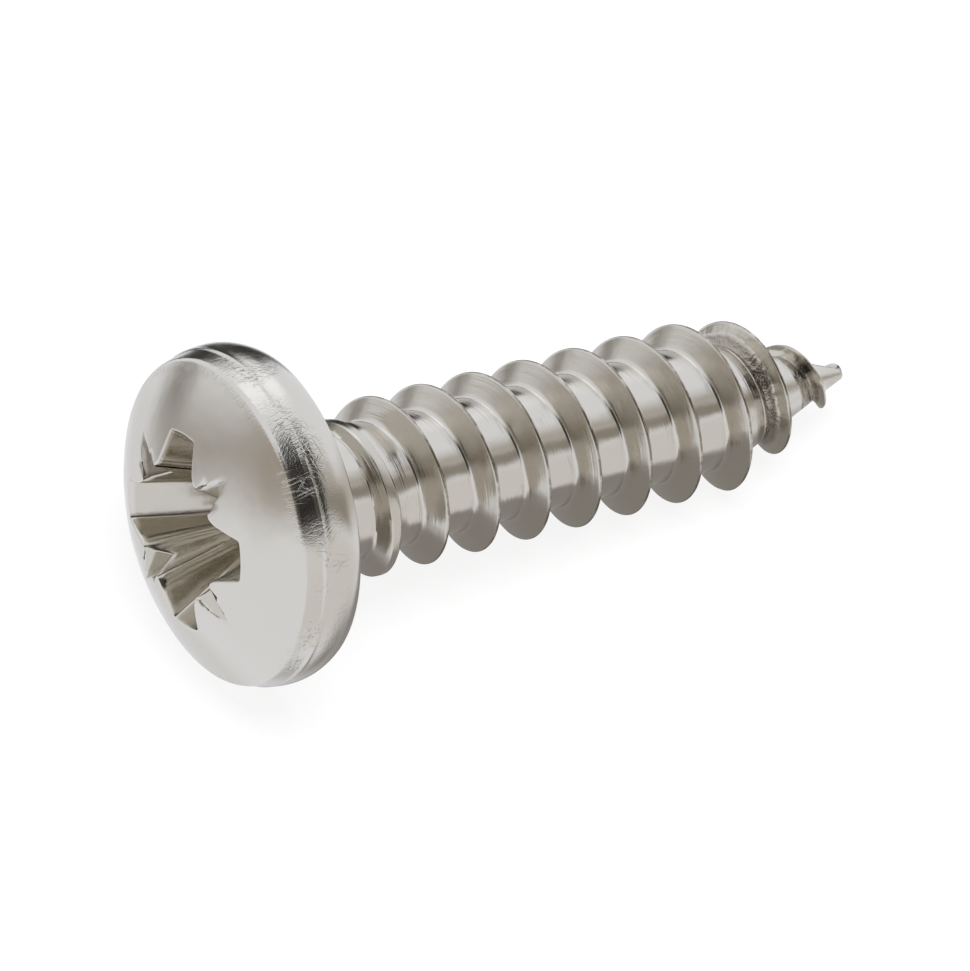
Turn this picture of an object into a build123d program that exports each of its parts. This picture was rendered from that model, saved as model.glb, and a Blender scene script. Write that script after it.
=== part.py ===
"""Pan head tapping screw with a type Z cross recess, a coarse rolled thread and a gimlet point."""

import math
import os

from build123d import *

os.makedirs("parts", exist_ok=True)

# Head. Heights are measured from the bearing face towards the top of the dome.
head_d = 8.0
head_h = 2.8
dome_r = 6.5
crown_d = 7.64
crown_round = 0.22
crease_h = 1.05
side_r = 1.2
side_h = 0.7
flare = 0.55

# Shank. Positions are measured from the bearing face towards the point.
length = 16.1
neck_d = 3.2
neck_end = 2.3
core_d = 3.0
core_start = 3.0
point_half_angle = 20.5
point_ball_r = 0.12

# Thread
pitch = 1.41
thread_d = 4.08
flank_angle = 30.0
sunk = 0.12
full_turns = 7.0
start_turns = 0.95
point_turns = 2.66
point_fade_turns = 0.45
ridge_stop = 0.1
crest_half_angle = 29.5
crest_blend = 0.2
bands_per_turn = 3
points_per_turn = 12

# Cross recess, given at the surface and at its floor
wing_span = 4.56
wing_w = 0.96
floor_span = 2.5
floor_wing_w = 0.8
recess_core_d = 3.0
floor_core_d = 2.0
recess_corner_r = 0.42
recess_floor_h = 0.55
recess_cone_h = 0.3
tick_reach = 2.54
tick_slope = 12.0
tick_half_angle = 31.0

# How the screw is turned about its own axis where it lies
end_clocking = -53.5
recess_clocking = 25.0

last_crest = length - point_turns * pitch
dome_centre = dome_r - head_h


def smooth(t):
    """Goes from 0 to 1 as t does, level at both ends."""
    t = min(max(t, 0.0), 1.0)
    return t * t * (3 - 2 * t)


def smooth_min(a, b, width):
    """The smaller of two values, rounded where they cross."""
    return (a + b - math.hypot(a - b, width)) / 2


def on_cone(z, half_angle):
    """Radius of a cone that runs out into the ball at the point."""
    return point_ball_r + max(length - z, 0.0) * math.tan(math.radians(half_angle))


def body_of_revolution():
    """Head, neck, core and point as one turned shape about Z, the point upwards."""
    crown_r = crown_d / 2
    crown_z = dome_centre - math.sqrt(dome_r**2 - crown_r**2)
    side_centre = head_d / 2 - side_r
    face_r = side_centre + math.sqrt(side_r**2 - side_h**2)
    crease_r = side_centre + math.sqrt(side_r**2 - (crease_h - side_h) ** 2)
    half = math.radians(point_half_angle)
    ball_z = length - point_ball_r
    cone_r = point_ball_r * math.cos(half)
    cone_z = ball_z + point_ball_r * math.sin(half)
    cone_start = cone_z - (core_d / 2 - cone_r) / math.tan(half)
    dome_mid = dome_r * math.sin(math.asin(crown_r / dome_r) / 2)
    dome_mid_z = dome_centre - math.sqrt(dome_r**2 - dome_mid**2)
    ball_mid = math.radians(45 + point_half_angle / 2)
    ball_point = (
        point_ball_r * math.cos(ball_mid),
        ball_z + point_ball_r * math.sin(ball_mid),
    )
    outline = Curve() + [
        ThreePointArc((0, -head_h), (dome_mid, dome_mid_z), (crown_r, crown_z)),
        Line((crown_r, crown_z), (crease_r, -crease_h)),
        ThreePointArc((crease_r, -crease_h), (head_d / 2, -side_h), (face_r, 0)),
        Line((face_r, 0), (neck_d / 2 + flare, 0)),
        Line((neck_d / 2 + flare, 0), (neck_d / 2, flare)),
        Line((neck_d / 2, flare), (neck_d / 2, neck_end)),
        Line((neck_d / 2, neck_end), (core_d / 2, core_start)),
        Line((core_d / 2, core_start), (core_d / 2, cone_start)),
        Line((core_d / 2, cone_start), (cone_r, cone_z)),
        ThreePointArc((cone_r, cone_z), ball_point, (0, length)),
        Line((0, length), (0, -head_h)),
    ]
    half_section = make_face(outline)
    crown = half_section.vertices().sort_by_distance((crown_r, crown_z, 0))[0]
    half_section = fillet(crown, crown_round)
    return revolve(Plane.XZ * half_section, Axis.Z)


def crest_radius(turn):
    """Crest radius, by turns after the last full crest: rising out of the neck, full, then falling to the point."""
    full = thread_d / 2
    z = last_crest + turn * pitch
    low = core_d / 2 - sunk / 2
    rise = smooth((turn + full_turns + start_turns) / start_turns)
    point = smooth_min(full, on_cone(z, crest_half_angle), crest_blend)
    core = smooth_min(core_d / 2, on_cone(z, point_half_angle), sunk)
    left = (point_turns - turn) / point_fade_turns
    fade = smooth(left)
    outside = low + (point - low) * rise
    inside = core - sunk / 2
    return inside + (outside - inside) * fade


def root_radius(turn):
    """Radius of the ridge's foot, which lies just under the core's surface."""
    z = last_crest + turn * pitch
    return smooth_min(core_d / 2, on_cone(z, point_half_angle), sunk) - sunk


def ridge_point(turn, radius, offset):
    """A point on the ridge, by turn, radius and distance along the axis from its crest line."""
    angle = 2 * math.pi * turn
    z = last_crest + turn * pitch + offset
    return Vector(radius * math.cos(angle), radius * math.sin(angle), z)


def ridge_section(turn):
    """The ridge's three corners in the plane through the axis: foot, crest, foot."""
    crest = crest_radius(turn)
    root = root_radius(turn)
    foot = (crest - root) * math.tan(math.radians(flank_angle))
    return [
        ridge_point(turn, root, -foot),
        ridge_point(turn, crest, 0),
        ridge_point(turn, root, foot),
    ]


def heading(turn, corner):
    """Unit direction in which one corner of the section travels."""
    step = 1e-4
    ahead = ridge_section(turn + step)[corner]
    behind = ridge_section(turn - step)[corner]
    return (ahead - behind).normalized()


def ridge_band(start, end):
    """The faces of the ridge over a short part of its run: one flank, the foot and the other flank."""
    steps = math.ceil((end - start) * points_per_turn)
    sections = [ridge_section(start + (end - start) * i / steps) for i in range(steps + 1)]
    edges = []
    for corner in range(3):
        points = [section[corner] for section in sections]
        ends = [heading(start, corner), heading(end, corner)]
        edges.append(Edge.make_spline(points, tangents=ends))
    return [Face.make_surface_from_curves(edges[i - 1], edges[i]) for i in range(3)]


def ridge():
    """The thread's ridge as one closed solid, laid in short bands."""
    first = -full_turns - start_turns
    last = point_turns - ridge_stop
    bands = math.ceil((last - first) * bands_per_turn)
    faces = []
    for i in range(bands):
        start = first + (last - first) * i / bands
        end = first + (last - first) * (i + 1) / bands
        faces += ridge_band(start, end)
    for turn in (first, last):
        faces.append(Face(Wire.make_polygon(ridge_section(turn), close=True)))
    return Solid(Shell(faces))


def cross_face(span, width, core, height):
    """One level of the recess: two crossing wings on a round core, with soft inner corners."""
    cross = Rectangle(span, width) + Rectangle(width, span) + Circle(core / 2)
    inner = [v for v in cross.vertices() if abs(math.hypot(v.X, v.Y) - core / 2) < 1e-4]
    return Pos(0, 0, height) * fillet(inner, recess_corner_r * core / recess_core_d)


def tick():
    """The cutter for one shallow mark between two wings, a ridge that sinks towards the recess."""
    surface_z = dome_centre - math.sqrt(dome_r**2 - tick_reach**2)
    deep = tick_reach * math.tan(math.radians(tick_slope))
    rise = 2 * deep
    half = (deep + rise) * math.tan(math.radians(tick_half_angle))
    section = Polyline((0, 0), (-half, -deep - rise), (half, -deep - rise), (0, 0))
    bar = extrude(Plane.YZ * make_face(section), amount=-2 * tick_reach)
    return Pos(tick_reach, 0, surface_z) * Rot(0, -tick_slope, 0) * bar


def recess():
    """The cutter for the whole drive recess, opening at the top of the dome."""
    floor_z = -recess_floor_h
    top_z = -head_h - 0.2
    depth_at_rim = dome_centre - math.sqrt(dome_r**2 - (wing_span / 2) ** 2)
    grow = (top_z - floor_z) / (depth_at_rim - floor_z)
    top_span = floor_span + (wing_span - floor_span) * grow
    top_w = floor_wing_w + (wing_w - floor_wing_w) * grow
    top_core = floor_core_d + (recess_core_d - floor_core_d) * grow
    low = cross_face(floor_span, floor_wing_w, floor_core_d, floor_z)
    high = cross_face(top_span, top_w, top_core, top_z)
    cutter = loft([low, high], ruled=True)
    cone = Pos(0, 0, floor_z + recess_cone_h / 2) * Cone(
        floor_core_d / 2, 0.2, recess_cone_h
    )
    cutter += cone
    for i in range(4):
        cutter += Rot(0, 0, 45 + 90 * i) * tick()
    return cutter


def tilt_on_crest(turn):
    """Angle of the axis below level where the head's side and one point of the crest touch the ground."""
    around = math.radians(360 * turn + end_clocking)
    along = last_crest + turn * pitch + side_h
    across = head_d / 2 - side_r - crest_radius(turn) * math.cos(around)
    return math.atan2(across, along) + math.asin(side_r / math.hypot(along, across))


def lying_tilt():
    """The tilt at which the tail's first crest point meets the ground."""
    fine = 360
    turns = [i / fine for i in range(-fine, fine)]
    return min(tilt_on_crest(turn) for turn in turns)


def lay_down(part):
    """Turns the point towards +X, lets the tail down and sets the head's side on the ground."""
    tilt = lying_tilt()
    side_centre = head_d / 2 - side_r
    axis_z = side_centre * math.cos(tilt) + side_r - side_h * math.sin(tilt)
    middle_x = (length - head_h) / 2 * math.cos(tilt)
    turned = Rot(0, 90 + math.degrees(tilt), 0) * part
    return Pos(-middle_x, 0, axis_z) * turned


def screw():
    shape = body_of_revolution() + ridge()
    shape -= Rot(0, 0, recess_clocking) * recess()
    return lay_down(Rot(0, 0, end_clocking) * shape)


part = screw()
part.label = "screw"
export_step(part, "parts/screw.step")
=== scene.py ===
"""Looks for a pan head tapping screw.

It is cold-headed, thread-rolled stainless steel with a gimlet point.
"""

import math

import bmesh
import bpy
from mathutils import Matrix, Vector


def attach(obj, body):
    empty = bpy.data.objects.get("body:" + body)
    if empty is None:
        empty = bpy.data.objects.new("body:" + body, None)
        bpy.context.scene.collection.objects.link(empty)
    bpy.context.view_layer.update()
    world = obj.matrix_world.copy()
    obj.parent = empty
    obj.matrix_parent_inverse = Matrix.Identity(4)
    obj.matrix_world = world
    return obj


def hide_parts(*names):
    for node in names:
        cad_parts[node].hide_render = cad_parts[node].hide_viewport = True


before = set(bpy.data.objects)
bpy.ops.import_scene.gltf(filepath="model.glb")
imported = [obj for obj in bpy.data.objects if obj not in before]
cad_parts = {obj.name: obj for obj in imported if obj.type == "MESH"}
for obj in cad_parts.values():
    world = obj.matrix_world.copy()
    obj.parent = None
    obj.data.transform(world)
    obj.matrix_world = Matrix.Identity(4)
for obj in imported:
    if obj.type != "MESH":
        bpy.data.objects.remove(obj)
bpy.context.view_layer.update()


# The lie of the screw. It is modelled upright, bearing face at zero and point upwards, its last
# full crest towards +X, and then laid down as the CAD solid lies: point towards +X, tail down,
# resting on the head's side and the thread's crest.
MM = 0.001
HEAD_R = 4.0 * MM
HEAD_H = 2.8 * MM
LENGTH = 16.1 * MM
SIDE_R = 1.2 * MM
SIDE_H = 0.7 * MM
TILT = math.radians(8.75)
END_CLOCKING = math.radians(-53.5)

axis_height = (HEAD_R - SIDE_R) * math.cos(TILT) + SIDE_R - SIDE_H * math.sin(TILT)
middle = (LENGTH - HEAD_H) / 2 * math.cos(TILT)
lay_down = (
    Matrix.Translation((-middle, 0, axis_height))
    @ Matrix.Rotation(math.pi / 2 + TILT, 4, "Y")
    @ Matrix.Rotation(END_CLOCKING, 4, "Z")
)


# The metal. Stainless wire, headed and rolled cold, then tumbled clean: a bright neutral steel. The
# dies leave lines along the thread, rougher flanks and the punch lines down the recess. Tumbling
# leaves a soft swell, and scratches, dents and spots, most on the head's edge. Painted shade
# darkens the recess and the flanks, and a painted dark reflection runs broken along the crests.
PITCH = 1.41 * MM
POINT_TURNS = 2.66
LAST_CREST = LENGTH - POINT_TURNS * PITCH
DOME_R = 6.5 * MM

STEEL_COLOUR = "D1CCC3"
# Painted shade in the recess and on the flanks, and duller metal at the very point; the dark of
# tears, spots and a painted dark reflection along the crests; and how much of each is laid on.
SHADE_AND_DULL_COLOUR = "C6C0B4"
DARK_MARKS_AND_SHADE_COLOUR = "857A6C"
FLANK_SHADE_SHARE = 0.65
DARK_TEARS = 0.55
HEAD_ROUGHER = 0.04
FLANKS_ROUGHER = 0.07

# Sizes of the marks. A depth is in plain millimetres, as the bump is. Grain and rolling lines are
# finer on the real screw, and are drawn as coarse as they need to be to show.
ROLLING_LINES = 0.055 * MM
ROLLING_RUN = MM / 0.55
ROLLING_CLIMB = 1.25 * MM
ROLLING_DEPTH = 0.011
PATCHES = MM / 0.7
PUNCH_LINES = 0.12 * MM
PUNCH_RUN = MM / 0.7
PUNCH_DEPTH = 0.0026
SCRATCH_WIDTH = 0.036 * MM
SCRATCH_LENGTH = 0.5 * MM
SCRATCH_DEPTH = 0.0028
SCRATCH_TURNS = (8, 34, 68, 113, 151)
SCRATCHES_ELSEWHERE = 0.015
EDGE_SLOPE = 0.75
RUBBED = 1.3 * MM
DENTS = 0.16 * MM
DENT_DEPTH = 0.003
DENTS_ON_SHANK = 0.45
GRAIN = 0.045 * MM
GRAIN_DEPTH = 0.0026
GRAIN_ELSEWHERE = 0.06
SWELL = 1.1 * MM
SWELL_DEPTH = 0.012
TEARS = 0.15 * MM
TEAR_DEPTH = 0.055
# Length of the breaks in the painted dark reflection along the crests.
CREST_REFLECTION_BREAKS = 0.35 * MM
SPOTS = 0.09 * MM
CLOUDS = 0.625 * MM
HARSHNESS = 0.6

# How a noise is stretched: its low and high level, and what each of them becomes.
PATCH_LEVELS = (0.4, 0.62, 0.12, 1.0)
SCRATCH_LEVELS = (0.6, 0.72, 0.0, 1.0)
RUBBED_LEVELS = (0.46, 0.6, 0.05, 1.0)
CREST_REFLECTION_LEVELS = (0.38, 0.55, 0.1, 0.9)
SPOT_LEVELS = (0.54, 0.64, 0.0, 0.6)
ROUGHNESS_LEVELS = (0.35, 0.65, 0.1, 0.17)

# Where the marks lie on the upright screw: from, to, and the soft width at both ends. Heights,
# depths and distances from the axis are in millimetres, turns are counted from the last full crest,
# and shares are of the pitch. Where there are only two numbers, the mark grows from none to full.
NO_END = 99.0
SHANK_HEIGHT = (0.7, NO_END, 0.2)
FLANK_HEIGHT = (1.6, NO_END, 0.4)
CREST_HEIGHT = (3.0, NO_END, 0.4)
HEAD_HEIGHT = (-NO_END, 0.2, 0.3)
EDGE_HEIGHT = (-NO_END, -0.7, 0.6)
CREASE_HEIGHT = (-1.2, -0.95, 0.08)
RECESS_HEIGHT = (-NO_END, -0.4, 0.1)
WALL_HEIGHT = (-NO_END, -0.8, 0.15)
RECESS_DEPTH = (0.26, NO_END, 0.06)
RECESS_OUT = (-NO_END, 2.3, 0.05)
EDGE_OUT = (3.72, NO_END, 0.16)
TORN_TURNS = (0.15, 1.8, 0.15)
TORN_SHARE = (0.7, 0.85, 0.05)
FLANK_SHARE = (0.24, 0.3)
CREST_SHARE = (0.474, 0.484)
TIP_HEIGHT = (LENGTH / MM - 0.9, LENGTH / MM - 0.5)

MATH = "ShaderNodeMath"
RANGE = "ShaderNodeMapRange"
SMOOTH = "SMOOTHSTEP"


def linear(code):
    """Turns an sRGB hex colour into the linear colour that a shader takes."""
    parts = [int(code[i : i + 2], 16) / 255 for i in (0, 2, 4)]
    return [p / 12.92 if p <= 0.04045 else ((p + 0.055) / 1.055) ** 2.4 for p in parts] + [1.0]


def add(tree, kind, *feeds, **settings):
    """Adds a node, sets its properties, and feeds its inputs in order with sockets or values."""
    node = tree.nodes.new(kind)
    for name, value in settings.items():
        setattr(node, name, value)
    usable = [socket for socket in node.inputs if socket.enabled]
    for socket, feed in zip(usable, feeds):
        if isinstance(feed, bpy.types.NodeSocket):
            tree.links.new(feed, socket)
        elif feed is not None:
            socket.default_value = feed
    return next(socket for socket in node.outputs if socket.enabled)


def product(tree, first, *others):
    """Numbers multiplied together, one after the other."""
    for other in others:
        first = add(tree, MATH, first, other, operation="MULTIPLY")
    return first


def total(tree, first, *others):
    """Numbers added up, one after the other."""
    for other in others:
        first = add(tree, MATH, first, other, operation="ADD")
    return first


def between(tree, value, low, high, soft):
    """Mask that is 1 between two values and fades out over a soft width on each side."""
    rise = add(tree, RANGE, value, low - soft, low, 0.0, 1.0, interpolation_type=SMOOTH)
    fall = add(tree, RANGE, value, high, high + soft, 1.0, 0.0, interpolation_type=SMOOTH)
    return product(tree, rise, fall)


def pattern(tree, x, y, z, detail, along=None):
    """Smooth noise over three numbers, or four, about one cell for each unit."""
    vector = add(tree, "ShaderNodeCombineXYZ", x, y, z)
    if along is None:
        return add(tree, "ShaderNodeTexNoise", vector, 1.0, detail, HARSHNESS)
    return add(
        tree, "ShaderNodeTexNoise", vector, along, 1.0, detail, HARSHNESS, noise_dimensions="4D"
    )


def mottled(tree, place, size, detail):
    """Smooth noise whose cells have one size, by place in millimetres."""
    return pattern(tree, *(product(tree, axis, MM / size) for axis in place), detail)


def scratches(tree, around, down, turn):
    """Fine straight scratches at one angle: the peaks of a noise that is drawn out one way."""
    turn = math.radians(turn)
    ahead = total(tree, product(tree, around, math.cos(turn)), product(tree, down, math.sin(turn)))
    over = add(
        tree, MATH, product(tree, down, math.cos(turn)), product(tree, around, math.sin(turn)),
        operation="SUBTRACT",
    )
    ahead = product(tree, ahead, MM / SCRATCH_LENGTH)
    over = product(tree, over, MM / SCRATCH_WIDTH)
    # The angle also picks the layer of the noise, so that no two angles share one.
    noise = pattern(tree, ahead, over, turn * 10, 0.0)
    return add(tree, RANGE, noise, *SCRATCH_LEVELS)


steel = bpy.data.materials.new("rolled and tumbled stainless steel")
steel.use_nodes = True
tree = steel.node_tree
shader = tree.nodes["Principled BSDF"]
shader.inputs["Metallic"].default_value = 1.0

# Place on the upright screw in millimetres, then distance from the axis and place in the pitch.
upright = lay_down.inverted()
seat = tree.nodes.new("ShaderNodeTexCoord").outputs["Object"]
seat = add(
    tree, "ShaderNodeMapping", seat, upright.translation / MM, upright.to_euler(), (1 / MM,) * 3
)
place = add(tree, "ShaderNodeSeparateXYZ", seat).node.outputs[:]
x, y, z = place
out_squared = total(tree, product(tree, x, x), product(tree, y, y))
out = add(tree, MATH, out_squared, operation="SQRT")
turned = add(tree, MATH, y, x, operation="ARCTAN2")
turned = add(tree, MATH, turned, 2 * math.pi, operation="DIVIDE")
climbed = add(tree, MATH, z, LAST_CREST / MM, operation="SUBTRACT")
climbed = add(tree, MATH, climbed, PITCH / MM, operation="DIVIDE")
in_pitch = add(tree, MATH, climbed, turned, operation="SUBTRACT")
in_pitch = add(tree, MATH, in_pitch, operation="FRACT")
from_groove = add(tree, MATH, in_pitch, 0.5, operation="SUBTRACT")
from_groove = add(tree, MATH, from_groove, operation="ABSOLUTE")
dome_z = total(tree, -HEAD_H / MM, product(tree, out_squared, MM / (2 * DOME_R)))
below_dome = add(tree, MATH, z, dome_z, operation="SUBTRACT")

# The parts of the screw that carry marks of their own.
on_shank = between(tree, z, *SHANK_HEIGHT)
on_head = between(tree, z, *HEAD_HEIGHT)
on_edge = product(tree, between(tree, out, *EDGE_OUT), between(tree, z, *EDGE_HEIGHT))
in_recess = product(
    tree, between(tree, out, *RECESS_OUT), between(tree, below_dome, *RECESS_DEPTH),
    between(tree, z, *RECESS_HEIGHT),
)
on_wall = product(tree, in_recess, between(tree, z, *WALL_HEIGHT))
in_tears = product(tree, between(tree, in_pitch, *TORN_SHARE), between(tree, climbed, *TORN_TURNS))
on_flank = add(tree, RANGE, from_groove, *FLANK_SHARE, 0.0, 1.0)
on_flank = product(tree, on_flank, between(tree, z, *FLANK_HEIGHT))
on_flank = add(
    tree, MATH, on_flank, add(tree, RANGE, z, *TIP_HEIGHT, 0.0, 1.0), operation="MAXIMUM"
)
rubbed = add(tree, RANGE, mottled(tree, place, RUBBED, 1.0), *RUBBED_LEVELS)
rubbed = product(tree, on_edge, rubbed)

# Lines left by the dies and by the punch.
rolled = pattern(
    tree, product(tree, in_pitch, PITCH / ROLLING_LINES), product(tree, x, MM / ROLLING_RUN),
    product(tree, y, MM / ROLLING_RUN), 3.0, product(tree, z, MM / ROLLING_CLIMB),
)
patchy = pattern(tree, product(tree, x, MM / PATCHES), product(tree, y, MM / PATCHES), z, 2.0)
patchy = add(tree, RANGE, patchy, *PATCH_LEVELS)
rolled = product(tree, rolled, ROLLING_DEPTH, on_shank, patchy)
punched = pattern(
    tree, product(tree, x, MM / PUNCH_LINES), product(tree, y, MM / PUNCH_LINES),
    product(tree, z, MM / PUNCH_RUN), 1.5,
)
punched = product(tree, punched, PUNCH_DEPTH, on_wall)

# Marks of tumbling. The scratches are laid on the edge as if it were rolled out flat, by distance
# round it and by distance down its slope.
around = product(tree, turned, 2 * math.pi * HEAD_R / MM)
down = product(tree, add(tree, MATH, z, out, operation="SUBTRACT"), EDGE_SLOPE)
crossing = total(tree, *(scratches(tree, around, down, turn) for turn in SCRATCH_TURNS))
scratched = product(tree, crossing, -SCRATCH_DEPTH, total(tree, SCRATCHES_ELSEWHERE, rubbed))
grainy = total(tree, GRAIN_DEPTH * GRAIN_ELSEWHERE, product(tree, on_edge, GRAIN_DEPTH))
grain = product(tree, mottled(tree, place, GRAIN, 1.0), grainy)
swell = product(tree, mottled(tree, place, SWELL, 2.0), SWELL_DEPTH)
struck = add(tree, MATH, on_edge, product(tree, on_shank, DENTS_ON_SHANK), operation="MAXIMUM")
dented = product(tree, mottled(tree, place, DENTS, 2.0), DENT_DEPTH, struck)
torn = product(tree, mottled(tree, place, TEARS, 3.0), TEAR_DEPTH, in_tears)

bump = tree.nodes.new("ShaderNodeBump")
bump.inputs["Distance"].default_value = MM
relief = total(tree, rolled, punched, scratched, grain, swell, dented, torn)
tree.links.new(relief, bump.inputs["Height"])
tree.links.new(bump.outputs["Normal"], shader.inputs["Normal"])

# Colour: painted shade, darker and warmer, in the recess and on the flanks, and duller metal at
# the very point. Darker in tears, in a painted dark reflection broken along the crests, and in
# spots along the crease.
shade_and_dull = add(tree, MATH, in_recess, product(tree, on_flank, FLANK_SHADE_SHARE), operation="MAXIMUM")
colour = add(
    tree, "ShaderNodeMix", shade_and_dull, linear(STEEL_COLOUR), linear(SHADE_AND_DULL_COLOUR), data_type="RGBA"
)
# A painted dark reflection along the crests, broken into lengths.
painted_crest_reflection = add(tree, RANGE, mottled(tree, place, CREST_REFLECTION_BREAKS, 3.0), *CREST_REFLECTION_LEVELS)
on_crest = add(tree, RANGE, from_groove, *CREST_SHARE, 0.0, 1.0)
painted_crest_reflection = product(tree, on_crest, painted_crest_reflection, between(tree, z, *CREST_HEIGHT))
spotted = add(tree, RANGE, mottled(tree, place, SPOTS, 2.0), *SPOT_LEVELS)
spotted = product(tree, spotted, rubbed, between(tree, z, *CREASE_HEIGHT))
dark = add(tree, MATH, painted_crest_reflection, spotted, operation="MAXIMUM")
dark = add(tree, MATH, dark, product(tree, in_tears, DARK_TEARS), operation="MAXIMUM")
colour = add(tree, "ShaderNodeMix", dark, colour, linear(DARK_MARKS_AND_SHADE_COLOUR), data_type="RGBA")
tree.links.new(colour, shader.inputs["Base Color"])

roughness = add(tree, RANGE, mottled(tree, place, CLOUDS, 4.0), *ROUGHNESS_LEVELS)
rougher = product(tree, on_flank, FLANKS_ROUGHER)
roughness = total(tree, roughness, product(tree, on_head, HEAD_ROUGHER), rougher)
tree.links.new(roughness, shader.inputs["Roughness"])


# Shank and thread. Two flat dies roll the blank, so the ridge is pushed up out of the core as
# one helix: it fades in blunt beside the head, runs full, and dies away round the gimlet point,
# where the dies pinch the metal and leave rough flanks and a small flattened tip.
THREAD_R = 2.04 * MM
CORE_R = 1.5 * MM
NECK_R = 1.6 * MM
JOIN_H = 0.62 * MM
FULL_TURNS = 7.0
START_TURNS = 0.95
START_SINK = 0.08 * MM
BLUNT_SHARE = 0.75
SHARP_AFTER = 0.35
ROUNDING_SHARE = 0.2
POINT_BLEND = 0.25 * MM
POINT_TAPER = (
    (0.056, 0.967), (0.188, 0.905), (0.376, 0.715), (0.564, 0.49), (0.752, 0.33), (0.88, 0.19),
)
TAPER_END = 0.02
PUSHED_TURNS = (1.2, 1.9)

# Burrs. Three rows say how high they stand, by height over the core, by depth under the crest and
# by distance from the end: from, to, and the share of their height at each.
BURR_TURNS = (-0.35, 0.3)
BURR_DETAIL = 2.5
BURR_HARSHNESS = 0.7
BURR_LEVEL = 0.55
BURRS_UP_FLANK = (0.0, 0.15 * MM, 0.0, 1.0)
BURRS_OFF_CREST = (0.03 * MM, 0.12 * MM, 0.15, 1.0)
BURRS_BEFORE_END = (0.2 * MM, 0.8 * MM, 0.3, 1.0)

# Columns of the mesh in one turn, rows in one pitch, and how near points are merged.
COLUMNS = 192
ROWS = 32
ROW_SPREAD = ((0.1, 0.03), (0.2, 0.09), (0.5, 0.4), (0.8, 0.68))
WELD = 0.002 * MM


def set_curve(node, start, points, end):
    """Puts a float curve through the given points."""
    curve = node.mapping.curves[0]
    curve.points[0].location = start
    curve.points[1].location = end
    for point in points:
        curve.points.new(*point)
    node.mapping.update()


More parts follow.
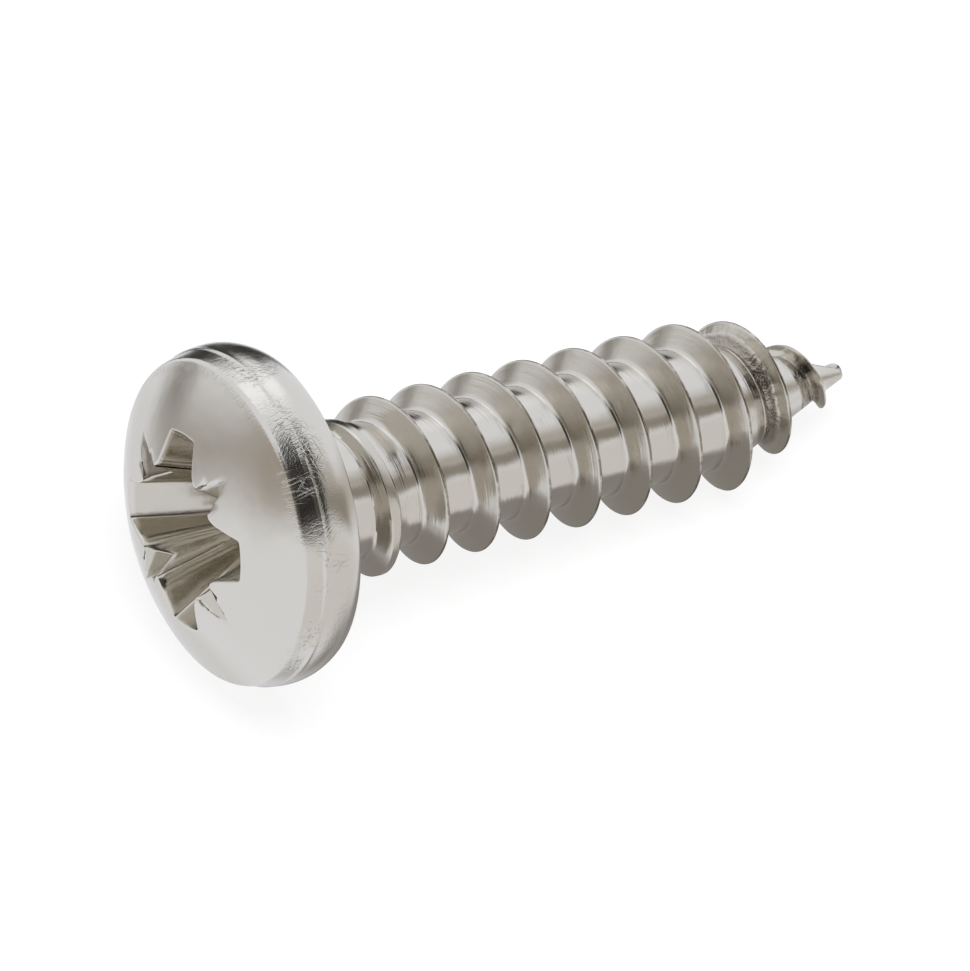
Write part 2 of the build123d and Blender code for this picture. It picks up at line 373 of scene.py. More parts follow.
def rolled_thread():
    """Node tree that winds a strip one pitch wide round the shank and lifts it into the ridge."""
    tree = bpy.data.node_groups.new("rolled thread", "GeometryNodeTree")
    tree.interface.new_socket("Geometry", in_out="INPUT", socket_type="NodeSocketGeometry")
    tree.interface.new_socket("Geometry", in_out="OUTPUT", socket_type="NodeSocketGeometry")
    sizes = {
        "Pitch": PITCH,
        "Thread radius": THREAD_R,
        "Core radius": CORE_R,
        "Neck radius": NECK_R,
        "Neck end": 2.3 * MM,
        "Core start": 3.0 * MM,
        "Start height": JOIN_H,
        "Length": LENGTH,
        "Full turns": FULL_TURNS,
        "Start turns": START_TURNS,
        "Point turns": POINT_TURNS,
        "Flank slope": 1 / math.tan(math.radians(30)),
        "Crest flat": 0.05 * MM,
        "Blunt flat": 0.26 * MM,
        "Crest rounding": 0.035 * MM,
        "Root rounding": 0.08 * MM,
        "Point core slope": math.tan(math.radians(20.5)),
        "Point end radius": 0.09 * MM,
        "Last crest push": 0.13 * MM,
        "Fin length": 0.6 * MM,
        "Fin spread": 0.08,
        "Fin turn": math.radians(7),
        "Burrs per metre": 4200.0,
        "Burr height": 0.14 * MM,
    }
    identifiers = {}
    for name, value in sizes.items():
        socket = tree.interface.new_socket(name, in_out="INPUT", socket_type="NodeSocketFloat")
        identifiers[socket.identifier] = value
    given = tree.nodes.new("NodeGroupInput").outputs
    pitch = given["Pitch"]
    length = given["Length"]
    end_r = given["Point end radius"]

    # A strip of quads: x counts columns along the helix, y counts rows across one pitch.
    turns_up = math.ceil((LENGTH - JOIN_H) / PITCH) + 1
    columns = turns_up * COLUMNS
    grid = add(tree, "GeometryNodeMeshGrid", 1.0, 1.0, columns + 1, ROWS + 1)
    position = add(tree, "GeometryNodeInputPosition")
    on_grid = add(tree, "ShaderNodeSeparateXYZ", position).node.outputs
    column = product(tree, total(tree, on_grid[0], 0.5), columns)
    column = add(tree, MATH, column, operation="ROUND")
    row = product(tree, on_grid[1], 2.0)
    off_middle = add(tree, MATH, row, operation="ABSOLUTE")

    # Turn counted from the last full crest, and angle round the axis.
    first_column = math.floor((JOIN_H - LAST_CREST) / PITCH * COLUMNS) - COLUMNS // 2
    turn = add(tree, MATH, total(tree, column, first_column), COLUMNS, operation="DIVIDE")
    angle = product(tree, turn, 2 * math.pi)
    cosine = add(tree, MATH, angle, operation="COSINE")
    sine = add(tree, MATH, angle, operation="SINE")

    # Rows crowd towards the crest and the flank's foot, where the section bends most.
    spread = tree.nodes.new("ShaderNodeFloatCurve")
    set_curve(spread, (0.0, 0.0), ROW_SPREAD, (1.0, 1.0))
    tree.links.new(off_middle, spread.inputs[1])
    side = add(tree, MATH, row, operation="SIGN")
    offset = product(tree, spread.outputs[0], product(tree, pitch, 0.5), side)

    # Height along the axis, held between the join under the head and the very point. The last
    # crests are pushed towards the point, and the rows beside them follow.
    last_crest = product(tree, given["Point turns"], pitch)
    last_crest = add(tree, MATH, length, last_crest, operation="SUBTRACT")
    crest_height = total(tree, last_crest, product(tree, turn, pitch))
    pushed = add(
        tree, RANGE, turn, *PUSHED_TURNS, 0.0, given["Last crest push"], interpolation_type=SMOOTH
    )
    follow = product(tree, pushed, add(tree, MATH, 1.0, off_middle, operation="SUBTRACT"))
    height = total(tree, crest_height, total(tree, offset, follow))
    height = add(tree, MATH, height, given["Start height"], operation="MAXIMUM")
    height = add(tree, MATH, height, length, operation="MINIMUM")

    # Body radius: neck, a short slope to the core, and the core's cone rounded at its end.
    body = add(
        tree, RANGE, height, given["Neck end"], given["Core start"], given["Neck radius"],
        given["Core radius"], interpolation_type=SMOOTH,
    )
    left = add(tree, MATH, length, height, operation="SUBTRACT")
    cone = total(tree, end_r, product(tree, left, given["Point core slope"]))
    body = add(tree, MATH, body, cone, POINT_BLEND, operation="SMOOTH_MIN")
    inward = add(tree, MATH, left, end_r, operation="DIVIDE")
    inward = add(tree, MATH, inward, 1.0, operation="MINIMUM")
    inward = add(tree, MATH, 1.0, inward, operation="SUBTRACT")
    cap = add(tree, MATH, 1.0, product(tree, inward, inward), operation="SUBTRACT")
    cap = add(tree, MATH, add(tree, MATH, cap, 0.0, operation="MAXIMUM"), operation="SQRT")

    # Crest radius: rises out of the neck, stays full, then falls round the point.
    low = add(tree, MATH, given["Core radius"], START_SINK, operation="SUBTRACT")
    begun = total(tree, turn, given["Full turns"], given["Start turns"])
    rise = add(tree, RANGE, begun, 0.0, given["Start turns"], 0.0, 1.0, interpolation_type=SMOOTH)
    taper = tree.nodes.new("ShaderNodeFloatCurve")
    set_curve(taper, (0.0, 1.0), POINT_TAPER, (1.0, TAPER_END))
    down_point = add(tree, MATH, turn, given["Point turns"], operation="DIVIDE")
    tree.links.new(down_point, taper.inputs[1])
    point_crest = product(tree, given["Thread radius"], taper.outputs[0])
    above_low = add(tree, MATH, point_crest, low, operation="SUBTRACT")
    crest = total(tree, low, product(tree, rise, above_low))

    # Section of the ridge: flat crest, straight flanks, softly rounded where each meets the next.
    blunt_to = product(tree, given["Start turns"], BLUNT_SHARE)
    sharp_from = total(tree, given["Start turns"], SHARP_AFTER)
    half_flat = add(
        tree, RANGE, begun, blunt_to, sharp_from, product(tree, given["Blunt flat"], 0.5),
        product(tree, given["Crest flat"], 0.5), interpolation_type=SMOOTH,
    )
    crest_line = total(tree, crest_height, pushed)
    away = add(tree, MATH, height, crest_line, operation="SUBTRACT")
    away = add(tree, MATH, away, operation="ABSOLUTE")
    down = add(tree, MATH, away, half_flat, operation="SUBTRACT")
    down = product(tree, down, given["Flank slope"])
    flank = add(tree, MATH, crest, down, operation="SUBTRACT")
    ridge = add(tree, MATH, flank, crest, given["Crest rounding"], operation="SMOOTH_MIN")
    rounding = product(tree, body, ROUNDING_SHARE)
    rounding = add(tree, MATH, given["Root rounding"], rounding, operation="MINIMUM")
    radius = add(tree, MATH, ridge, body, rounding, operation="SMOOTH_MAX")
    radius = product(tree, radius, cap)

    # The dies pinch the very end into a small flat fin.
    pinched = add(
        tree, RANGE, left, given["Fin length"], 0.0, 0.0, given["Fin spread"],
        interpolation_type=SMOOTH,
    )
    twice = product(tree, add(tree, MATH, angle, given["Fin turn"], operation="SUBTRACT"), 2.0)
    spread_out = product(tree, add(tree, MATH, twice, operation="COSINE"), pinched)
    radius = product(tree, radius, total(tree, 1.0, spread_out))

    # They also tear the flanks of the point into burrs, low at the crest and at the very end.
    spot = add(
        tree, "ShaderNodeCombineXYZ", product(tree, cosine, radius), product(tree, sine, radius),
        height,
    )
    burrs = add(
        tree, "ShaderNodeTexNoise", spot, given["Burrs per metre"], BURR_DETAIL, BURR_HARSHNESS
    )
    burrs = add(tree, MATH, burrs, BURR_LEVEL, operation="SUBTRACT")
    up_flank = add(tree, MATH, radius, body, operation="SUBTRACT")
    off_crest = add(tree, MATH, crest, radius, operation="SUBTRACT")
    where = product(
        tree, add(tree, RANGE, up_flank, *BURRS_UP_FLANK),
        add(tree, RANGE, off_crest, *BURRS_OFF_CREST),
        add(tree, RANGE, turn, *BURR_TURNS, 0.0, 1.0, interpolation_type=SMOOTH),
        add(tree, RANGE, left, *BURRS_BEFORE_END, interpolation_type=SMOOTH),
    )
    radius = total(tree, radius, product(tree, burrs, where, given["Burr height"]))

    wound = add(
        tree, "ShaderNodeCombineXYZ", product(tree, radius, cosine), product(tree, radius, sine),
        height,
    )
    shaped = add(tree, "GeometryNodeSetPosition", grid, None, wound)
    welded = add(tree, "GeometryNodeMergeByDistance", shaped, None, WELD)
    realised = add(tree, "GeometryNodeRealizeInstances", welded)
    coated = add(tree, "GeometryNodeSetMaterial", realised, None, steel)
    tree.links.new(coated, tree.nodes.new("NodeGroupOutput").inputs[0])
    return tree, identifiers


tree, identifiers = rolled_thread()
carrier = bpy.data.objects.new("shank carrier", bpy.data.meshes.new("shank carrier"))
bpy.context.scene.collection.objects.link(carrier)
winding = carrier.modifiers.new("rolled thread", "NODES")
winding.node_group = tree
for identifier, value in identifiers.items():
    winding[identifier] = value
bpy.context.view_layer.update()
evaluated = carrier.evaluated_get(bpy.context.evaluated_depsgraph_get())
shank = bpy.data.meshes.new_from_object(evaluated)
carrier.modifiers.remove(winding)
bpy.data.objects.remove(carrier)


# Head. It is cold-formed on the end of the blank: a domed top, a crown edge, a narrow band down
# to the fine line where the dies met, a round side and a flat bearing face that runs into the
# neck through a fillet. A punch leaves the cross recess with four shallow marks between its wings.
CROWN_R = 3.82 * MM
CROWN_ROUND = 0.22 * MM
CREASE_H = 1.05 * MM
CREASE_LIP = 0.016 * MM
LIP_WIDTH = 0.05 * MM
BEARING_ROUND = 0.12 * MM
FILLET_R = 0.55 * MM
DOME_CENTRE = DOME_R - HEAD_H
COLLAR_R = 3.0 * MM
SHARP_EDGE = math.radians(38)

RECESS_CLOCKING = math.radians(25.3)
WING_REACH = 2.34 * MM
WING_HALF = 0.48 * MM
WING_CORNER = 0.06 * MM
WING_FLARE = math.radians(14.5)
RECESS_CORE = 1.56 * MM
LAND_ROUND = 0.7 * MM
RECESS_FLOOR = 0.55 * MM
FLOOR_SHARE = 0.63
FLOOR_WING_REACH = 1.25 * MM
FLOOR_WING_HALF = 0.4 * MM
FLOOR_MARK_HALF = 0.1 * MM
CONE_HEIGHT = 0.3 * MM
CONE_TOP_R = 0.15 * MM
RECESS_TAPER = 0.28
MARK_REACH = 2.56 * MM
MARK_TIP = math.radians(0.25)
MARK_SLOPE = math.tan(math.radians(12))
MARK_WALL = math.tan(math.radians(34))
RIM_DROP = 0.045 * MM
RIM_STEPS = ((0.09 * MM, 0.0), (0.045 * MM, 0.001 * MM), (0.018 * MM, 0.012 * MM), (0.0, RIM_DROP))

# Steps along the half section.
FILLET_STEPS = 10
FACE_STEPS = 6
BEARING_STEPS = 4
SIDE_STEPS = 16
BAND_STEPS = 6
CROWN_STEPS = 8
DOME_STEPS = 12

# Points along an eighth of the recess's outline. The last one also begins the next eighth, and the
# others make up an eighth of COLUMNS.
END_POINTS = 4
CORNER_POINTS = 3
SIDE_POINTS = 6
LAND_POINTS = 5
CORE_POINTS = 4
MARK_COLUMNS = 3
COLLAR_SHARES = (0.35, 0.65, 0.85, 1.0)
RIM_SHARES = (0.88, 0.75, 0.62, 0.5, 0.4)
WALL_STEPS = 14
FLOOR_SHARES = (0.12, 0.3, 0.5, 0.75, 1.0)


def arc(centre, radius, start, end, steps):
    """Points of an arc in the half section, without its first one."""
    angles = [start + (end - start) * i / steps for i in range(1, steps + 1)]
    return [(centre[0] + radius * math.cos(a), centre[1] + radius * math.sin(a)) for a in angles]


def stretch(start, end, steps):
    """Points of a straight run, without its first one."""
    run = end[0] - start[0]
    rise = end[1] - start[1]
    shares = [i / steps for i in range(1, steps + 1)]
    return [(start[0] + run * share, start[1] + rise * share) for share in shares]


def turned_point(radius, angle):
    """A point of a circle about the axis, seen along it."""
    return radius * Vector((math.cos(angle), math.sin(angle)))


def dome_height(radius):
    """Height of the dome's surface at a distance from the axis."""
    return DOME_CENTRE - math.sqrt(DOME_R**2 - radius**2)


def head_outline():
    """Half section from the neck, over the bearing face and the side, to the collar."""
    side = (HEAD_R - SIDE_R, -SIDE_H)
    edge_angle = math.asin((SIDE_H - BEARING_ROUND) / (SIDE_R - BEARING_ROUND))
    edge = (side[0] + (SIDE_R - BEARING_ROUND) * math.cos(edge_angle), -BEARING_ROUND)
    crease_angle = -math.asin((CREASE_H - SIDE_H) / SIDE_R)
    crease = (side[0] + SIDE_R * math.cos(crease_angle), -CREASE_H)
    crown = Vector((CROWN_R, dome_height(CROWN_R)))
    along = (crown - Vector(crease)).normalized()
    inward = Vector((along.y, -along.x))
    dome_mid = Vector((0, DOME_CENTRE))
    start = Vector(crease) + CROWN_ROUND * inward - dome_mid
    lean = start.dot(along)
    run = -lean + math.sqrt(lean**2 - start.length_squared + (DOME_R - CROWN_ROUND) ** 2)
    round_mid = Vector(crease) + CROWN_ROUND * inward + run * along
    band_end = round_mid - CROWN_ROUND * inward
    to_dome = (round_mid - dome_mid).normalized()
    band_side = math.atan2(-inward.y, -inward.x)
    dome_side = math.atan2(to_dome.y, to_dome.x)
    crown_top = round_mid + CROWN_ROUND * to_dome

    points = [(NECK_R, JOIN_H), (NECK_R, FILLET_R)]
    points += arc((NECK_R + FILLET_R, FILLET_R), FILLET_R, math.pi, 1.5 * math.pi, FILLET_STEPS)
    points += stretch(points[-1], (edge[0], 0.0), FACE_STEPS)
    points += arc(edge, BEARING_ROUND, math.pi / 2, edge_angle, BEARING_STEPS)
    points += arc(side, SIDE_R, edge_angle, crease_angle + LIP_WIDTH / SIDE_R, SIDE_STEPS)
    points.append((crease[0] + CREASE_LIP, crease[1] + LIP_WIDTH * 0.2))
    points.append((crease[0] + CREASE_LIP * 0.8, crease[1] - LIP_WIDTH * 0.3))
    points.append((crease[0] + along.x * LIP_WIDTH, crease[1] + along.y * LIP_WIDTH))
    points += stretch(points[-1], band_end, BAND_STEPS)
    points += arc(round_mid, CROWN_ROUND, band_side, dome_side, CROWN_STEPS)
    for i in range(1, DOME_STEPS + 1):
        radius = crown_top.x + (COLLAR_R - crown_top.x) * i / DOME_STEPS
        points.append((radius, dome_height(radius)))
    return points


def mark_depth(along, across):
    """Depth of a shallow mark, by distance from the axis and distance off its own middle."""
    bottom = dome_height(MARK_REACH) + (MARK_REACH - along) * MARK_SLOPE
    surface = dome_height(math.hypot(along, across))
    return max(bottom - surface - abs(across) / MARK_WALL, 0.0)


def recess_edge(reach, half, core, land, mark_half):
    """An eighth of the recess's outline, from a wing's middle to the edge of the mark beside it."""
    corner_x = reach * math.cos(math.asin(half / reach))
    slope = math.tan(WING_FLARE)
    rise = half + corner_x * slope + land / math.cos(WING_FLARE)
    a = 1 + slope**2
    b = -2 * rise * slope
    c = rise**2 - (core + land) ** 2
    land_x = (-b + math.sqrt(b * b - 4 * a * c)) / (2 * a)
    land_mid = Vector((land_x, rise - land_x * slope))
    side_end = land_mid - land * Vector((math.sin(WING_FLARE), math.cos(WING_FLARE)))
    core_start = land_mid * core / (core + land)

    # The wing's end, and its corner, which a short curve softens.
    corner = Vector((corner_x, half))
    end_turn = math.atan2(corner.y, corner.x) - WING_CORNER / reach
    points = [turned_point(reach, end_turn * i / END_POINTS) for i in range(END_POINTS)]
    before = turned_point(reach, end_turn)
    after = corner + WING_CORNER * Vector((-math.cos(WING_FLARE), math.sin(WING_FLARE)))
    for i in range(CORNER_POINTS):
        t = i / CORNER_POINTS
        points.append(before * (1 - t) ** 2 + corner * 2 * t * (1 - t) + after * t * t)

    # The wing's side, the rounded land beside it, and the core up to the mark.
    points += [after.lerp(side_end, i / SIDE_POINTS) for i in range(SIDE_POINTS)]
    start = math.atan2(side_end.y - land_mid.y, side_end.x - land_mid.x)
    end = math.atan2(core_start.y - land_mid.y, core_start.x - land_mid.x)
    if end > start:
        end -= 2 * math.pi
    for i in range(LAND_POINTS):
        points.append(land_mid + turned_point(land, start + (end - start) * i / LAND_POINTS))
    start = math.atan2(core_start.y, core_start.x)
    end = math.pi / 4 - math.asin(mark_half / core)
    for i in range(CORE_POINTS):
        points.append(turned_point(core, start + (end - start) * i / (CORE_POINTS - 1)))
    return points


def mark_columns(along, half, drawn_in):
    """Points across half a mark, from just inside its edge to its middle, at one distance out."""
    points = []
    for i in range(1, MARK_COLUMNS + 1):
        across = half * (1 - i / MARK_COLUMNS)
        reach = along - drawn_in * mark_depth(along, across)
        points.append(Matrix.Rotation(math.pi / 4, 2) @ Vector((reach, -across)))
    return points


def all_round(eighth):
    """Repeats an eighth of an outline round the whole recess, mirrored each time, and clocks it."""
    count = len(eighth) - 1
    mirrored = [Vector((p.y, p.x)) for p in reversed(eighth)]
    points = []
    for quarter in range(4):
        turn = Matrix.Rotation(math.pi / 2 * quarter + RECESS_CLOCKING, 2)
        points += [turn @ p for p in eighth[:count] + mirrored[:count]]
    return points


def on_dome(point, drop):
    """A point of the dome, let down where a mark crosses it and by a small drop at the rim."""
    off_mark = (math.atan2(point.y, point.x) - RECESS_CLOCKING) % (math.pi / 2) - math.pi / 4
    depth = mark_depth(point.length * math.cos(off_mark), point.length * math.sin(off_mark))
    return Vector((point.x, point.y, dome_height(point.length) + depth + drop))


def dome_rings():
    """Rings of points over the dome, from the round collar in to the rim of the recess."""
    mark_half = mark_depth(RECESS_CORE, 0.0) * MARK_WALL
    rim = recess_edge(WING_REACH, WING_HALF, RECESS_CORE, LAND_ROUND, mark_half)
    edge_steps = len(rim) - 1
    steps = edge_steps + MARK_COLUMNS
    shoulder_turn = (math.pi / 4 - MARK_TIP) / edge_steps
    shoulder = [turned_point(MARK_REACH, shoulder_turn * k) for k in range(edge_steps + 1)]
    tip = mark_columns(MARK_REACH, MARK_REACH * MARK_TIP, 0.0)
    collar = [turned_point(COLLAR_R, math.pi / 4 * k / steps) for k in range(steps + 1)]

    rings = []
    for share in COLLAR_SHARES:
        eighth = [outer.lerp(inner, share) for outer, inner in zip(collar, shoulder + tip)]
        rings.append([on_dome(p, 0.0) for p in all_round(eighth)])
    # A level is a share of the way from the rim to the shoulder, a distance more, and a drop.
    levels = [(share, 0.0, 0.0) for share in RIM_SHARES]
    levels += [(0.0, distance, drop) for distance, drop in RIM_STEPS]
    for share, distance, drop in levels:
        eighth = []
        for inner, outer in zip(rim, shoulder):
            eighth.append(inner.lerp(outer, share + distance / (outer - inner).length))
        part = share + distance / (MARK_REACH - RECESS_CORE)
        along = RECESS_CORE + (MARK_REACH - RECESS_CORE) * part
        half = mark_depth(along, 0.0) * MARK_WALL
        eighth += mark_columns(along, half, RECESS_TAPER * (1 - part) ** 4)
        rings.append([on_dome(p, drop) for p in all_round(eighth)])
    return rings


def recess_rings(top):
    """Rings of points down the recess's walls, over its floor and up the small cone on it."""
    core = RECESS_CORE * FLOOR_SHARE
    land = LAND_ROUND * FLOOR_SHARE
    eighth = recess_edge(FLOOR_WING_REACH, FLOOR_WING_HALF, core, land, FLOOR_MARK_HALF)
    eighth += mark_columns(core, FLOOR_MARK_HALF, 0.0)
    floor = all_round(eighth)
    rings = []
    for i in range(1, WALL_STEPS + 1):
        ring = []
        for high, low in zip(top, floor):
            ring.append(high.lerp(Vector((*low, -RECESS_FLOOR)), i / WALL_STEPS))
        rings.append(ring)
    for share in FLOOR_SHARES:
        ring = []
        for low in floor:
            point = low.lerp(low.normalized() * CONE_TOP_R, share)
            rise = max(0.0, 1 - (point.length - CONE_TOP_R) / (core - CONE_TOP_R))
            ring.append(Vector((*point, -RECESS_FLOOR + CONE_HEIGHT * rise)))
        rings.append(ring)
    return rings


def head_mesh():
    """The head as rings of quads, all with the same number of columns."""
    mesh = bmesh.new()
    shift = round(RECESS_CLOCKING / (2 * math.pi / COLUMNS))
    angles = [2 * math.pi * (i + shift) / COLUMNS for i in range(COLUMNS)]
    rings = []
    for radius, height in head_outline():
        rings.append([Vector((*turned_point(radius, angle), height)) for angle in angles])
    rings += dome_rings()
    rings += recess_rings(rings[-1])
    rows = [[mesh.verts.new(point) for point in ring] for ring in rings]
    centre = mesh.verts.new((0, 0, -RECESS_FLOOR + CONE_HEIGHT))
    for before, after in zip(rows, rows[1:]):
        for i in range(COLUMNS):
            j = (i + 1) % COLUMNS
            mesh.faces.new((before[i], before[j], after[j], after[i]))
    for i in range(COLUMNS):
        mesh.faces.new((rows[-1][i], rows[-1][(i + 1) % COLUMNS], centre))
    return mesh


whole = head_mesh()
whole.from_mesh(shank)
bmesh.ops.remove_doubles(whole, verts=whole.verts, dist=WELD)
bmesh.ops.recalc_face_normals(whole, faces=whole.faces)

# Cold heading leaves the head a little askew on the shank. It leans by a degree and a half, and
# sits 0.06 mm to one side and 0.14 mm towards the point. All of it dies out along the neck.
LEAN = Matrix.Rotation(math.radians(1.53), 3, Vector((0.838, -0.545, 0)))
ASKEW = Vector((-0.053, -0.023, 0.138)) * MM
NECK_SPAN = 3.0 * MM
for vert in whole.verts:
    share = min(max(vert.co.z / NECK_SPAN, 0.0), 1.0)
    share = 1 - share * share * (3 - 2 * share)
    leant = LEAN @ vert.co + ASKEW
    vert.co = vert.co.lerp(leant, share)
screw_mesh = bpy.data.meshes.new("screw")
whole.to_mesh(screw_mesh)
whole.free()
screw_mesh.transform(lay_down)
screw_mesh.materials.clear()
screw_mesh.materials.append(steel)
screw_mesh.shade_smooth()
screw_mesh.set_sharp_from_angle(angle=SHARP_EDGE)
screw = bpy.data.objects.new("tapping_screw", screw_mesh)
bpy.context.scene.collection.objects.link(screw)
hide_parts("screw")
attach(screw, "root")


# Camera. It looks from the head's side with a long lens. Its directions are given in the upright
# screw's frame: the axis comes towards the viewer by one angle and climbs the picture by another.
TOWARDS = math.radians(31.74)
CLIMB = math.radians(13.54)
DISTANCE = 374.5 * MM
ASIDE = 4.988 * MM
ABOVE = 0.589 * MM
FOCAL_LENGTH = 608.7

near_side = Vector((0, -math.sin(TOWARDS), math.cos(TOWARDS)))
across = math.cos(CLIMB) * near_side + Vector((math.sin(CLIMB), 0, 0))
upward = math.sin(CLIMB) * near_side - Vector((math.cos(CLIMB), 0, 0))
back = across.cross(upward)
stand = Matrix((across, upward, back)).transposed().to_4x4()
stand.translation = ASIDE * across + ABOVE * upward + DISTANCE * back
lens = bpy.data.cameras.new("camera")
lens.lens = FOCAL_LENGTH
lens.clip_start = 0.01
lens.clip_end = 20.0
camera = bpy.data.objects.new("camera", lens)
bpy.context.scene.collection.objects.link(camera)
camera.matrix_world = lay_down @ stand
bpy.context.scene.camera = camera
bpy.context.scene.view_settings.view_transform = "Standard"


# Ground. A large sheet of white paper under the screw. The camera sees it nearly pure white, with a
# faint shadow. The metal sees a painted shadow close under itself, a dim glow in place of shaded
# paper, and past that it sees the tent, which goes on below. What glows here is only looked at and
# lights nothing.
BOARD = 2.0
PAPER_COLOUR = "F2F2F2"
SHOWN_TO_CAMERA = 0.8
SHOWN_WHITE = 1.08
# Colour and strength of the painted shadow, and where it fades out.
PAINTED_SHADOW_COLOUR = "EEEAE7"
PAINTED_SHADOW_GLOW = 0.38
SHADE_OFFSET = (-0.5 * MM, 0, 0)
SHADE_STRETCH = (0.85, 1.2, 1)
NEAR = 6 * MM
FAR = 8.3 * MM

ground_mesh = bpy.data.meshes.new("ground")
corners = [(-BOARD, -BOARD, 0), (BOARD, -BOARD, 0), (BOARD, BOARD, 0), (-BOARD, BOARD, 0)]
ground_mesh.from_pydata(corners, [], [(0, 1, 2, 3)])
ground = bpy.data.objects.new("ground", ground_mesh)
bpy.context.scene.collection.objects.link(ground)
paper = bpy.data.materials.new("matt white paper")
paper.use_nodes = True
paper.cycles.emission_sampling = "NONE"
tree = paper.node_tree
tree.nodes.clear()
matt = add(tree, "ShaderNodeBsdfDiffuse", linear(PAPER_COLOUR))
glow = add(tree, "ShaderNodeEmission", linear("FFFFFF"), SHOWN_WHITE)
path = tree.nodes.new("ShaderNodeLightPath").outputs
to_camera = product(tree, path["Is Camera Ray"], SHOWN_TO_CAMERA)
shown = add(tree, "ShaderNodeMixShader", to_camera, matt, glow)
spot = tree.nodes.new("ShaderNodeTexCoord").outputs["Object"]
spot = add(tree, "ShaderNodeMapping", spot, SHADE_OFFSET, None, SHADE_STRETCH)
from_shank = add(tree, "ShaderNodeVectorMath", spot, operation="LENGTH")
gone = add(tree, RANGE, from_shank, NEAR, FAR, 0.0, 1.0, interpolation_type=SMOOTH)
# The painted shadow: a dim glow that only the metal sees, close under the screw.
painted_shadow = add(tree, "ShaderNodeEmission", linear(PAINTED_SHADOW_COLOUR), PAINTED_SHADOW_GLOW)
clear = add(tree, "ShaderNodeBsdfTransparent")
in_metal = add(tree, "ShaderNodeMixShader", gone, painted_shadow, clear)
shown = add(tree, "ShaderNodeMixShader", path["Is Glossy Ray"], shown, in_metal)
tree.links.new(shown, tree.nodes.new("ShaderNodeOutputMaterial").inputs[0])
ground_mesh.materials.append(paper)


# Light. Soft white light comes from all round. The metal sees a white studio tent instead, with the
# dark gaps and dim sides that give polished steel its contrast. Each is a soft-edged patch, placed
# as the camera sees it by two angles in degrees: how far round to the right, and how far up.
TENT_R = 0.6
TENT_ROUND = 240
TENT_UP = 120
TENT_WHITE = 1.09
TENT_COLOUR = "F3F7FF"
TENT_PATCHES = (
    # name, right, up, half width, half height, edge across, edge up, colour, strength
    ("roof light", -40, 86, 180, 12, 10, 14, "F2F6FF", 1.5),
    ("left wall", -90, 7, 39, 11, 34, 30, "F8F4EE", 0.5),
    ("left corner", -119, 20, 9, 9, 16, 18, "F8F4EE", 0.36),
    ("right wall", 105, 12, 34, 8, 30, 20, "F4EEE6", 0.64),
    ("lower right", 80, -48, 45, 40, 30, 10, "F8F8FA", 0.9),
    ("low corner", 150, -38, 26, 12, 40, 24, "F4EEE8", 0.34),
    ("window behind", -155, -10, 14, 24, 18, 16, "F0F2F6", 0.95),
    ("room on the left", -28, 1, 38, 17, 26, 22, "EAE0D5", 0.56),
    ("room at the camera", 6, 6, 22, 24, 24, 16, "E8DFD2", 0.11),
    ("haze on the right", 62, 22, 20, 8, 20, 30, "F0E8DC", 0.54),
    ("gap on the right", 72, 6, 30, 9, 24, 10, "EAE2D6", 0.42),
    ("open door", 32, 19, 13, 34, 10, 20, "E8E0D6", 0.035),
    ("gap behind", 186, 39, 20, 20, 10, 14, "EFE8DE", 0.06),
)
WORLD_STRENGTH = 0.3
SOFTBOX_ACROSS = 0.1
SOFTBOX_WATTS = 0.2
SOFTBOX_PLACE = (-0.02, -0.02, 0.15)


def soft_step(share):
    """Goes from 0 to 1, level at both ends."""
    share = min(max(share, 0.0), 1.0)
    return share * share * (3 - 2 * share)


def tent_colour(right, up):
    """Light of the tent in one direction, given in degrees."""
    colour = [TENT_WHITE * part for part in linear(TENT_COLOUR)[:3]]
    for _, at_right, at_up, half_w, half_h, edge_w, edge_h, code, strength in TENT_PATCHES:
        apart = abs((right - at_right + 180) % 360 - 180)
        cover = soft_step((half_w + edge_w / 2 - apart) / edge_w)
        cover *= soft_step((half_h + edge_h / 2 - abs(up - at_up)) / edge_h)
        own = [strength * part for part in linear(code)[:3]]
        colour = [old + (new - old) * cover for old, new in zip(colour, own)]
    return colour


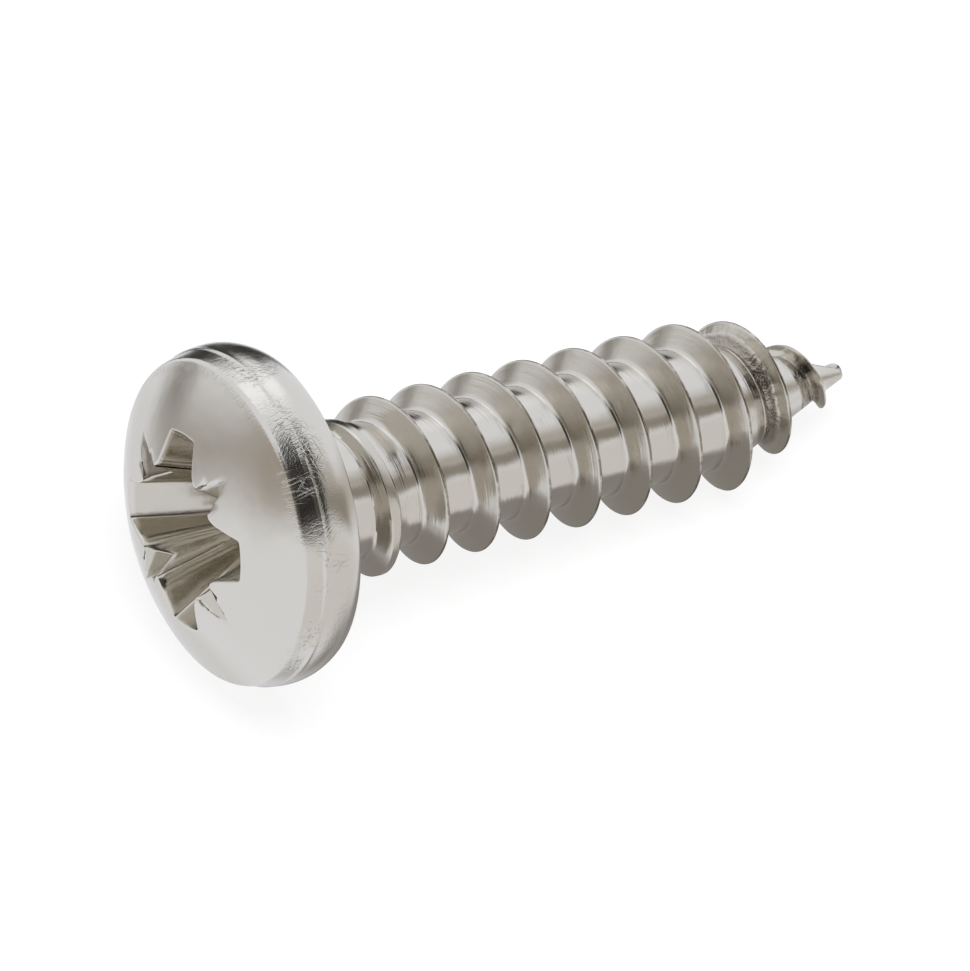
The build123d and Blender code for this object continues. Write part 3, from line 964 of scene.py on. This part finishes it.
tent_mesh = bpy.data.meshes.new("studio tent")
points = []
colours = []
for j in range(TENT_UP + 1):
    up = -90 + 180 * j / TENT_UP
    level = math.cos(math.radians(up))
    for i in range(TENT_ROUND):
        right = 360 * i / TENT_ROUND
        sideways = level * math.sin(math.radians(right))
        nearer = level * math.cos(math.radians(right))
        points.append(TENT_R * Vector((sideways, math.sin(math.radians(up)), nearer)))
        colours.append(tent_colour(right, up) + [1.0])
quads = []
for start in range(0, TENT_UP * TENT_ROUND, TENT_ROUND):
    for i in range(TENT_ROUND):
        k = (i + 1) % TENT_ROUND
        above = start + TENT_ROUND
        quads.append((start + i, start + k, above + k, above + i))
tent_mesh.from_pydata(points, [], quads)
tent_mesh.transform((lay_down @ stand).to_3x3().to_4x4())
light = tent_mesh.attributes.new("light", "FLOAT_COLOR", "POINT")
light.data.foreach_set("color", [part for colour in colours for part in colour])
tent = bpy.data.objects.new("studio tent", tent_mesh)
bpy.context.scene.collection.objects.link(tent)
tent.visible_camera = False
tent.visible_diffuse = False
tent.visible_shadow = False
cloth = bpy.data.materials.new("lit tent cloth")
cloth.use_nodes = True
cloth.cycles.emission_sampling = "NONE"
tree = cloth.node_tree
tree.nodes.clear()
seen = add(tree, "ShaderNodeAttribute", attribute_name="light").node.outputs["Color"]
lit = add(tree, "ShaderNodeEmission", seen, 1.0)
tree.links.new(lit, tree.nodes.new("ShaderNodeOutputMaterial").inputs[0])
tent_mesh.materials.append(cloth)

world = bpy.data.worlds.new("soft white light")
bpy.context.scene.world = world
world.use_nodes = True
sky = world.node_tree.nodes["Background"].inputs
sky["Color"].default_value = linear("FFFFFF")
sky["Strength"].default_value = WORLD_STRENGTH
world.cycles_visibility.glossy = False
lamp = bpy.data.lights.new("soft box overhead", "AREA")
lamp.shape = "DISK"
lamp.size = SOFTBOX_ACROSS
lamp.energy = SOFTBOX_WATTS
softbox = bpy.data.objects.new("soft box overhead", lamp)
softbox.location = SOFTBOX_PLACE
bpy.context.scene.collection.objects.link(softbox)
softbox.visible_camera = False
softbox.visible_glossy = False
